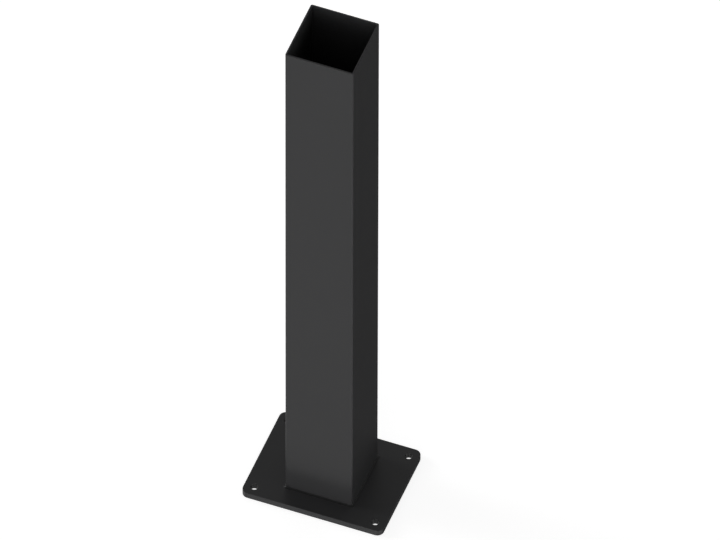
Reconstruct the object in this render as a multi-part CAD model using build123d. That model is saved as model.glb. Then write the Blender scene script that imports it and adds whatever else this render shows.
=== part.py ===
from build123d import *
from build123d.topology import SkipClean
import os

# A square steel fence post welded to a base plate that is bolted to the ground.
# The origin is the centre of the plate's underside, +Z is up, and +X runs along the plate's long side.

# Square hollow section
tube_side = 100.0
tube_wall = 2.5
tube_length = 900.0
tube_outer_radius = 2.5
tube_inner_radius = 0.5
rim_edge_radius = 0.3

# Base plate
plate_length = 210.0
plate_width = 160.0
plate_thickness = 10.0
plate_corner_radius = 10.0
plate_edge_radius = 0.5

# Clearance holes for ground anchors, one near each corner of the plate
hole_diameter = 11.0
hole_edge_distance = 15.0

# Fillet weld all round the foot of the tube
weld_height = 2.0
weld_width = 3.0
weld_hollow = 0.4

# Sizes that follow from the ones above
bore_side = tube_side - 2 * tube_wall
hole_spacing_x = plate_length - 2 * hole_edge_distance
hole_spacing_y = plate_width - 2 * hole_edge_distance


def make_base_plate():
    """Flat plate with rounded corners, four through holes and a slightly eased outline."""
    with BuildPart() as plate:
        with BuildSketch():
            RectangleRounded(plate_length, plate_width, plate_corner_radius)
            with GridLocations(hole_spacing_x, hole_spacing_y, 2, 2):
                Circle(hole_diameter / 2, mode=Mode.SUBTRACT)
        extrude(amount=plate_thickness)
        underside, top = plate.faces().filter_by(Axis.Z).sort_by(Axis.Z)
        outline = underside.outer_wire().edges() + top.outer_wire().edges()
        fillet(outline, plate_edge_radius)
    return plate.part


def make_post_tube():
    """Hollow section standing on the plate, open and cut square at its top end.

    Its sides are parted at the top of the weld: above that line a bracket can lie flat on them.
    """
    with BuildPart() as tube:
        with BuildSketch(Plane.XY.offset(plate_thickness + weld_height)) as section:
            RectangleRounded(tube_side, tube_side, tube_outer_radius)
            RectangleRounded(bore_side, bore_side, tube_inner_radius, mode=Mode.SUBTRACT)
        extrude(amount=tube_length - weld_height)
        rim = tube.faces().filter_by(Axis.Z).sort_by(Axis.Z)[-1]
        fillet(rim.edges(), rim_edge_radius)
        with SkipClean():
            extrude(section.sketch, amount=-weld_height, clean=False)
    return tube.part


def make_foot_weld():
    """One unbroken bead: a hollow-faced triangular section swept round the tube's outline."""
    foot = Plane.XY.offset(plate_thickness)
    outline = (foot * RectangleRounded(tube_side, tube_side, tube_outer_radius)).wire()
    along = outline % 0
    outward = along.cross(foot.z_dir)
    with BuildPart() as weld:
        with BuildSketch(Plane(origin=outline @ 0, x_dir=outward, z_dir=outward.cross(foot.z_dir))):
            with BuildLine():
                root = (0, 0)
                plate_toe = (weld_width, 0)
                tube_toe = (0, weld_height)
                Line(root, plate_toe)
                SagittaArc(plate_toe, tube_toe, weld_hollow)
                Line(tube_toe, root)
            make_face()
        sweep(path=outline)
    return weld.part


nodes = {
    "base_plate": make_base_plate(),
    "post_tube": make_post_tube(),
    "foot_weld": make_foot_weld(),
}

os.makedirs("parts", exist_ok=True)
for name, piece in nodes.items():
    export_step(piece, f"parts/{name}.step")
    print(name, "valid" if piece.is_valid else "not valid", round(piece.volume, 1), "mm3")
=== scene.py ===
import math

import bpy
from mathutils import Matrix, Vector, noise


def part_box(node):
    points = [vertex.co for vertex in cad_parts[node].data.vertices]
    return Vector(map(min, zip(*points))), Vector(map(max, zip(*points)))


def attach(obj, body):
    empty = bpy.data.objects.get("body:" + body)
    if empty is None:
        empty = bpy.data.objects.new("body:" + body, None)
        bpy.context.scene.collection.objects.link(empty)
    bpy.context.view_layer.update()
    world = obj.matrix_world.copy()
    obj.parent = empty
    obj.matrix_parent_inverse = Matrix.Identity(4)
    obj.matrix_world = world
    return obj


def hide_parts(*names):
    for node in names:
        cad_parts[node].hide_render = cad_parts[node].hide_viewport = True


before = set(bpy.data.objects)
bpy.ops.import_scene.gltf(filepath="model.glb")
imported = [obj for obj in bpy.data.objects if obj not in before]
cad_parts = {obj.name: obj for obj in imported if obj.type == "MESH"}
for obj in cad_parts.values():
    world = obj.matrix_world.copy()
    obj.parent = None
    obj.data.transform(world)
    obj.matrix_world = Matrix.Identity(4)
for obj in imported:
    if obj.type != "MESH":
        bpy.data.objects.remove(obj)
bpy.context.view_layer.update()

# A square steel fence post, welded to its base plate and powder coated in black.
# Lengths are in metres. +Z is up, and the plate's long side runs along X.

MM = 0.001
WHITE = (1.0, 1.0, 1.0, 1.0)

# Sizes taken from the frame
_, plate_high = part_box("base_plate")
_, tube_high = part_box("post_tube")
_, weld_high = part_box("foot_weld")
plate_top = plate_high.z
tube_half = tube_high.x
weld_width = weld_high.x - tube_half
weld_height = weld_high.z - plate_top

# Foot of the tube: its rounded square outline
tube_corner_radius = 2.5 * MM
flat_length = 2 * (tube_half - tube_corner_radius)
quarter_length = flat_length + tube_corner_radius * math.pi / 2
loop_length = 4 * quarter_length

# Weld bead
bead_step = 0.35 * MM
bead_ring_count = round(loop_length / bead_step)
bead_face_points = 8
bead_section_points = bead_face_points + 3
bead_hollow = 0.4 * MM
bead_sunk = 0.05 * MM
toe_wander = 0.3 * MM
toe_wander_rate = 110.0
top_wander_rate = 143.0
ripple_count = 190
ripple_height = 0.26 * MM
ripple_middle = 0.5
ripple_wave = 0.4
ripple_double_wave = 0.1
ripple_bow = 0.9 * MM
ripple_drift = 0.5 * MM
ripple_drift_rate = 45.0
overlap_at = 60.0 * MM
overlap_length = 4.5 * MM
overlap_fill = 0.8

# Camera: a long lens, because the photo has almost no perspective
view_azimuth = math.radians(20.911)
view_elevation = math.radians(48.668)
view_roll = math.radians(0.160)
aim_right = 0.03877
aim_up = 0.28662
frame_width = 1.00139
lens = 1250.0
sensor_width = 36.0
camera_distance = frame_width * lens / sensor_width
nearest_seen = 1.0
farthest_seen = 200.0

# Soft light from large panels all round: where each one stands, its strength and how narrow it is
WIDE = 3.0
MEDIUM = 10.0
NARROW = 40.0
LIGHT_PANELS = {
    "front": ((0.0, -1.0, 0.0), 9.5, NARROW),
    "front, higher": ((0.0, -1.0, 0.4), 0.7, WIDE),
    "front, from below": ((0.0, -1.0, -1.4), 2.5, NARROW),
    "right": ((1.0, 0.0, 0.2), 5.0, NARROW),
    "right, from below": ((1.0, -0.3, -1.0), 3.0, NARROW),
    "back": ((0.0, 1.0, 0.0), 0.25, WIDE),
    "back, higher": ((0.0, 1.0, 0.4), 0.6, WIDE),
    "left": ((-1.0, 0.0, 0.3), 11.0, NARROW),
    "left, from below": ((-1.0, 0.0, -1.0), 1.0, MEDIUM),
}

# Floor
floor_half = 60.0
floor_colour = 0.5
floor_glow = 0.8

# Powder coat
coat_colour = (0.03, 0.03, 0.031)
coat_ior = 1.35
coat_roughness = 0.45
coat_colour_spread = 0.03
coat_roughness_spread = 0.03
patch_rate = 14.0
patch_low = 0.3
patch_high = 0.7
peel_rate = 420.0
peel_detail = 1.0
peel_depth = 0.08 * MM

# The same coat on the weld, with painted shade: its colour is darkened far below the coat's to stand in
# for the shade in the corner at the tube's foot, a dark line in the photo
weld_painted_shade_colour = (0.004, 0.004, 0.0041)


def make_camera():
    """A camera at the photo's viewing angle."""
    back = Vector((
        math.sin(view_azimuth) * math.cos(view_elevation),
        -math.cos(view_azimuth) * math.cos(view_elevation),
        math.sin(view_elevation),
    ))
    right = Vector((math.cos(view_azimuth), math.sin(view_azimuth), 0.0))
    up = back.cross(right)
    place = right * aim_right + up * aim_up + back * camera_distance
    roll = Matrix.Rotation(view_roll, 3, back)
    axes = Matrix((roll @ right, roll @ up, back)).transposed()
    data = bpy.data.cameras.new("camera")
    data.lens = lens
    data.sensor_width = sensor_width
    data.clip_start = nearest_seen
    data.clip_end = farthest_seen
    camera = bpy.data.objects.new("camera", data)
    bpy.context.scene.collection.objects.link(camera)
    camera.matrix_world = Matrix.Translation(place) @ axes.to_4x4()
    bpy.context.scene.camera = camera


def add_panel(nodes, links, direction, name, so_far):
    """One panel's light from this direction, added to the light of the panels so far."""
    place, strength, narrowness = LIGHT_PANELS[name]
    facing = nodes.new("ShaderNodeVectorMath")
    facing.operation = "DOT_PRODUCT"
    facing.inputs[1].default_value = Vector(place).normalized()
    links.new(direction, facing.inputs[0])
    lit_side = nodes.new("ShaderNodeMath")
    lit_side.operation = "MAXIMUM"
    lit_side.inputs[1].default_value = 0.0
    links.new(facing.outputs["Value"], lit_side.inputs[0])
    falloff = nodes.new("ShaderNodeMath")
    falloff.operation = "POWER"
    falloff.inputs[1].default_value = narrowness
    links.new(lit_side.outputs[0], falloff.inputs[0])
    panel = nodes.new("ShaderNodeMath")
    panel.label = name
    panel.operation = "MULTIPLY_ADD"
    panel.inputs[1].default_value = strength
    panel.inputs[2].default_value = 0.0
    links.new(falloff.outputs[0], panel.inputs[0])
    if so_far is not None:
        links.new(so_far, panel.inputs[2])
    return panel.outputs[0]


def white_background(nodes):
    """A background node of plain white."""
    background = nodes.new("ShaderNodeBackground")
    background.inputs["Color"].default_value = WHITE
    return background


def make_light():
    """The world: the panels' light falls on the object, and the camera sees plain white behind it."""
    world = bpy.data.worlds.new("studio")
    bpy.context.scene.world = world
    world.use_nodes = True
    nodes = world.node_tree.nodes
    links = world.node_tree.links
    nodes.clear()
    direction = nodes.new("ShaderNodeTexCoord").outputs["Generated"]
    total = None
    for name in LIGHT_PANELS:
        total = add_panel(nodes, links, direction, name, total)
    light = white_background(nodes)
    links.new(total, light.inputs["Strength"])
    backdrop = white_background(nodes)
    seen = nodes.new("ShaderNodeLightPath")
    either = nodes.new("ShaderNodeMixShader")
    links.new(seen.outputs["Is Camera Ray"], either.inputs[0])
    links.new(light.outputs[0], either.inputs[1])
    links.new(backdrop.outputs[0], either.inputs[2])
    output = nodes.new("ShaderNodeOutputWorld")
    links.new(either.outputs[0], output.inputs["Surface"])


def make_floor_material():
    """A dull pale surface with a glow of its own."""
    material = bpy.data.materials.new("pale_floor")
    material.use_nodes = True
    shader = material.node_tree.nodes["Principled BSDF"]
    shader.inputs["Base Color"].default_value = (floor_colour, floor_colour, floor_colour, 1.0)
    shader.inputs["Roughness"].default_value = 1.0
    shader.inputs["Specular IOR Level"].default_value = 0.0
    shader.inputs["Emission Color"].default_value = WHITE
    shader.inputs["Emission Strength"].default_value = floor_glow
    return material


def make_floor():
    """A plain pale floor. It takes the post's soft shadow and sends no light back up to it."""
    mesh = bpy.data.meshes.new("floor")
    corners = [(-floor_half, -floor_half, 0.0), (floor_half, -floor_half, 0.0)]
    corners += [(floor_half, floor_half, 0.0), (-floor_half, floor_half, 0.0)]
    mesh.from_pydata(corners, [], [(0, 1, 2, 3)])
    mesh.materials.append(make_floor_material())
    floor = bpy.data.objects.new("floor", mesh)
    bpy.context.scene.collection.objects.link(floor)
    floor.visible_diffuse = False
    floor.visible_glossy = False
    floor.visible_shadow = False


def foot_outline(distance):
    """A point this far along the tube's outline, and the direction away from the tube there."""
    side, along = divmod(distance, quarter_length)
    angle = max(0.0, along - flat_length) / tube_corner_radius
    outward = Vector((math.cos(angle), math.sin(angle)))
    centre = Vector((flat_length / 2, min(along, flat_length) - flat_length / 2))
    turn = Matrix.Rotation(side * math.pi / 2, 2)
    return turn @ (centre + outward * tube_corner_radius), turn @ outward


def wander(point, rate):
    """A smooth random share between 0 and 1 that changes along the foot."""
    return 0.5 + 0.5 * noise.noise(point * rate)


def bead_section(distance, point):
    """The bead's section at one place: pairs of how far out from the tube and how far up."""
    width = weld_width - toe_wander * wander(point, toe_wander_rate)
    height = weld_height - toe_wander * (1 - wander(point, top_wander_rate))
    drift = ripple_drift * noise.noise(point * ripple_drift_rate)
    fill = overlap_fill * math.exp(-(((distance - overlap_at) / overlap_length) ** 2))
    slope = Vector((-height, -width)).normalized()
    section = [Vector((width - bead_sunk, -bead_sunk))]
    for step in range(bead_face_points):
        share = step / (bead_face_points - 1)
        bow = ripple_bow * (2 * share - 1) ** 2
        phase = 2 * math.pi * ripple_count * (distance + drift + bow) / loop_length
        crest = ripple_middle + ripple_wave * math.cos(phase) + ripple_double_wave * math.cos(2 * phase)
        inward = 4 * share * (1 - share)
        depth = (bead_hollow * (1 - fill) - ripple_height * crest) * inward
        section.append(Vector((width * (1 - share), height * share)) + slope * depth)
    section.append(Vector((-bead_sunk, height - bead_sunk)))
    section.append(Vector((-bead_sunk, -bead_sunk)))
    return section


def bead_vertices():
    """The bead's sections, one after another round the foot."""
    vertices = []
    for ring in range(bead_ring_count):
        distance = loop_length * ring / bead_ring_count
        foot, outward = foot_outline(distance)
        for out, up in bead_section(distance, foot.to_3d()):
            place = foot + outward * out
            vertices.append((place.x, place.y, plate_top + up))
    return vertices


def bead_faces():
    """The faces between each section and the next, and for each one whether it is smooth."""
    faces = []
    smooth = []
    for ring in range(bead_ring_count):
        here = ring * bead_section_points
        ahead = (ring + 1) % bead_ring_count * bead_section_points
        for step in range(bead_section_points):
            following = (step + 1) % bead_section_points
            faces.append((here + step, ahead + step, ahead + following, here + following))
            smooth.append(0 < step < bead_face_points)
    return faces, smooth


def make_bead():
    """The weld bead round the foot of the tube: hollow faced, rippled, with an overlap where it closes."""
    faces, smooth = bead_faces()
    mesh = bpy.data.meshes.new("weld_bead")
    mesh.from_pydata(bead_vertices(), [], faces)
    mesh.polygons.foreach_set("use_smooth", smooth)
    bead = bpy.data.objects.new("weld_bead", mesh)
    bpy.context.scene.collection.objects.link(bead)
    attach(bead, "root")
    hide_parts("foot_weld")
    return bead


def spread_round(nodes, links, source, middle, spread):
    """A value that follows a texture and stays within a share of its middle value."""
    value = nodes.new("ShaderNodeMapRange")
    value.inputs["From Min"].default_value = patch_low
    value.inputs["From Max"].default_value = patch_high
    value.inputs["To Min"].default_value = middle * (1 - spread)
    value.inputs["To Max"].default_value = middle * (1 + spread)
    links.new(source, value.inputs["Value"])
    return value.outputs["Result"]


def add_patches(nodes, links, place, shader, colour):
    """A slow, slight change of tone and gloss over the coat."""
    patches = nodes.new("ShaderNodeTexNoise")
    patches.inputs["Scale"].default_value = patch_rate
    links.new(place, patches.inputs["Vector"])
    tint = nodes.new("ShaderNodeVectorMath")
    tint.operation = "SCALE"
    tint.inputs[0].default_value = colour
    share = spread_round(nodes, links, patches.outputs["Fac"], 1.0, coat_colour_spread)
    links.new(share, tint.inputs["Scale"])
    links.new(tint.outputs["Vector"], shader.inputs["Base Color"])
    shine = spread_round(nodes, links, patches.outputs["Fac"], coat_roughness, coat_roughness_spread)
    links.new(shine, shader.inputs["Roughness"])


def add_peel(nodes, links, place, shader):
    """The fine orange peel of a sprayed and baked powder, in relief."""
    peel = nodes.new("ShaderNodeTexNoise")
    peel.inputs["Scale"].default_value = peel_rate
    peel.inputs["Detail"].default_value = peel_detail
    links.new(place, peel.inputs["Vector"])
    relief = nodes.new("ShaderNodeBump")
    relief.inputs["Strength"].default_value = 1.0
    relief.inputs["Distance"].default_value = peel_depth
    links.new(peel.outputs["Fac"], relief.inputs["Height"])
    links.new(relief.outputs["Normal"], shader.inputs["Normal"])


def make_coat(name, colour):
    """Black powder coat, satin and almost even."""
    material = bpy.data.materials.new(name)
    material.use_nodes = True
    nodes = material.node_tree.nodes
    links = material.node_tree.links
    shader = nodes["Principled BSDF"]
    shader.inputs["IOR"].default_value = coat_ior
    place = nodes.new("ShaderNodeTexCoord").outputs["Object"]
    add_patches(nodes, links, place, shader, colour)
    add_peel(nodes, links, place, shader)
    return material


def put_material(piece, material):
    """Gives a piece this material and no other."""
    piece.data.materials.clear()
    piece.data.materials.append(material)


make_camera()
make_light()
make_floor()
coat = make_coat("powder_coat", coat_colour)
# The weld's coat is darkened as painted shade for the corner at the tube's foot
weld_coat_painted_shade = make_coat("weld_powder_coat_painted_shade", weld_painted_shade_colour)
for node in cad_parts.values():
    put_material(node, coat)
put_material(make_bead(), weld_coat_painted_shade)
bpy.context.scene.view_settings.view_transform = "Standard"
